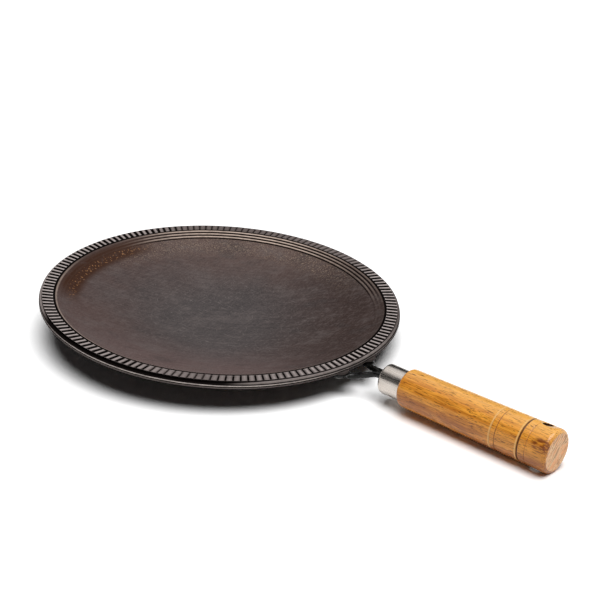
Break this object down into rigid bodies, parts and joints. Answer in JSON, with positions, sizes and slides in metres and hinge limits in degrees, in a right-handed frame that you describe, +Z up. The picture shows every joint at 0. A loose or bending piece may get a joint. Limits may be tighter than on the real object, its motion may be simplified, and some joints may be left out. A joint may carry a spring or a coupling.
{
  "type": "roti tawa",
  "caption": "Round shallow iron griddle with a fluted rim, a forked rod bracket, a steel ferrule and a turned wooden grip with a hanging hole, lying on a table.",
  "frame": {"origin": "on the table, under the middle of the whole tawa's box", "axes": "+Z up from the table, +X along the handle, away from the pan"},
  "size_m": [0.4484, 0.28, 0.0374],
  "materials": {
    "seasoned_iron": "dark brown-grey seasoned iron with rust-brown patches",
    "black_rod": "glossy black",
    "screw_steel": "plain zinc-grey steel",
    "ferrule_steel": "satin steel",
    "varnished_wood": "honey-coloured varnish over open grain"
  },
  "bodies": {
    "root": {"pan": "seasoned_iron", "fork_rod_left": "black_rod", "fork_rod_right": "black_rod", "fork_screw_left": "screw_steel", "fork_screw_right": "screw_steel", "ferrule": "ferrule_steel", "grip": "varnished_wood"}
  },
  "joints": []
}
